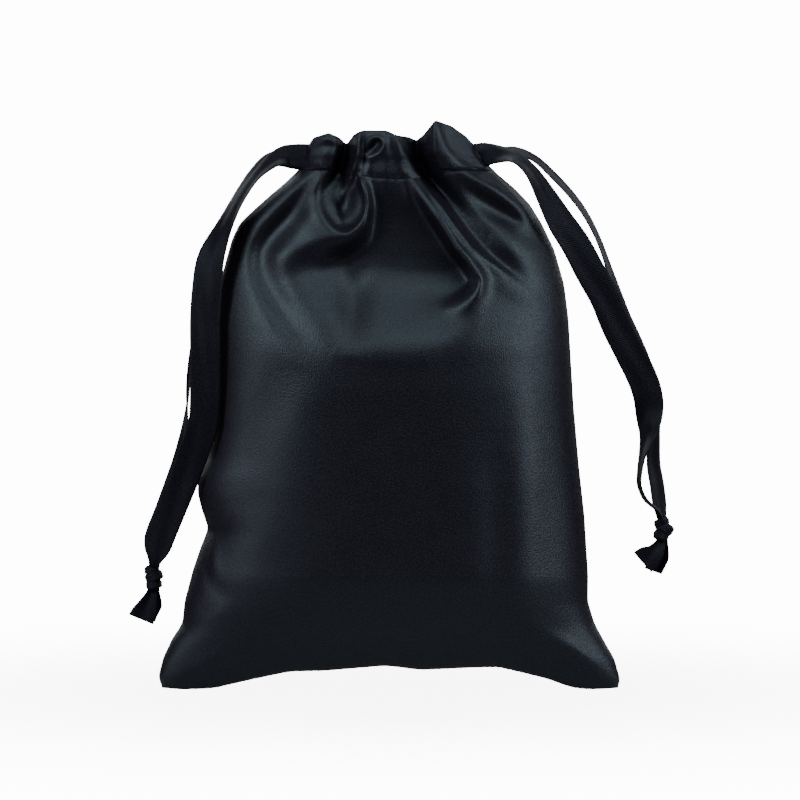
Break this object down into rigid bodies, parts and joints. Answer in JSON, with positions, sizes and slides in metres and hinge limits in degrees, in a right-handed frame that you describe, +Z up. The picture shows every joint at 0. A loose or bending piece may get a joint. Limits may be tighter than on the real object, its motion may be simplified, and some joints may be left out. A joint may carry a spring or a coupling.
{
  "type": "drawstring gift pouch",
  "caption": "Satin drawstring gift pouch, filled and standing, its mouth gathered by two ribbons that leave a casing at each side and end in knots.",
  "frame": {"origin": "on the floor, under the middle of the pouch without its hanging ribbons", "axes": "+X to the right seen from the front, the front panel faces -Y, +Z up"},
  "size_m": [0.172, 0.0554, 0.1789],
  "materials": {
    "satin": "black satin weave with a soft directional sheen",
    "satin_inside": "dull back of the black satin",
    "ribbon": "woven black satin ribbon with firm edges",
    "thread": "black polyester sewing thread"
  },
  "bodies": {
    "pouch": {"front_panel": "satin", "back_panel": "satin", "left_seam_allowance": "satin_inside", "right_seam_allowance": "satin_inside", "bottom_seam_allowance": "satin_inside", "front_left_shoulder": "satin", "front_right_shoulder": "satin", "back_left_shoulder": "satin", "back_right_shoulder": "satin", "left_seam_overlock": "thread", "right_seam_overlock": "thread", "bottom_seam_overlock": "thread", "left_ribbon_turn": "ribbon", "right_ribbon_turn": "ribbon"},
    "front_mouth": {"front_neck": "satin", "front_casing": "satin", "front_casing_stitching": "thread", "left_ribbon_front_run": "ribbon", "right_ribbon_front_run": "ribbon"},
    "back_mouth": {"back_neck": "satin", "back_casing": "satin", "back_casing_stitching": "thread", "left_ribbon_back_run": "ribbon", "right_ribbon_back_run": "ribbon"},
    "left_ribbon_slider": {"left_ribbon_front_root": "ribbon", "left_ribbon_back_root": "ribbon"},
    "left_ribbon_loop": {"left_ribbon_front_strand": "ribbon", "left_ribbon_back_strand": "ribbon", "left_ribbon_knot": "ribbon", "left_ribbon_first_tail": "ribbon", "left_ribbon_second_tail": "ribbon"},
    "right_ribbon_slider": {"right_ribbon_front_root": "ribbon", "right_ribbon_back_root": "ribbon"},
    "right_ribbon_loop": {"right_ribbon_front_strand": "ribbon", "right_ribbon_back_strand": "ribbon", "right_ribbon_knot": "ribbon", "right_ribbon_first_tail": "ribbon", "right_ribbon_second_tail": "ribbon"}
  },
  "joints": [
    {"name": "front_mouth_open", "type": "hinge", "parent": "pouch", "child": "front_mouth", "pos_m": [0, -0.025, 0.1281], "axis": [1, 0, 0], "range_deg": [0, 18]},
    {"name": "back_mouth_open", "type": "hinge", "parent": "pouch", "child": "back_mouth", "pos_m": [0, 0.025, 0.1281], "axis": [-1, 0, 0], "range_deg": [0, 18]},
    {"name": "left_ribbon_pull", "type": "slide", "parent": "pouch", "child": "left_ribbon_slider", "axis": [-1, 0, 0], "range_m": [0, 0.008]},
    {"name": "left_ribbon_swing", "type": "hinge", "parent": "left_ribbon_slider", "child": "left_ribbon_loop", "pos_m": [-0.0302, 0, 0.1728], "axis": [0, 1, 0], "range_deg": [0, 60]},
    {"name": "right_ribbon_pull", "type": "slide", "parent": "pouch", "child": "right_ribbon_slider", "axis": [1, 0, 0], "range_m": [0, 0.008]},
    {"name": "right_ribbon_swing", "type": "hinge", "parent": "right_ribbon_slider", "child": "right_ribbon_loop", "pos_m": [0.0302, 0, 0.1728], "axis": [0, -1, 0], "range_deg": [0, 60]}
  ],
  "couplings": [
    {"joint": "back_mouth_open", "follows": "front_mouth_open", "ratio": 1}
  ]
}
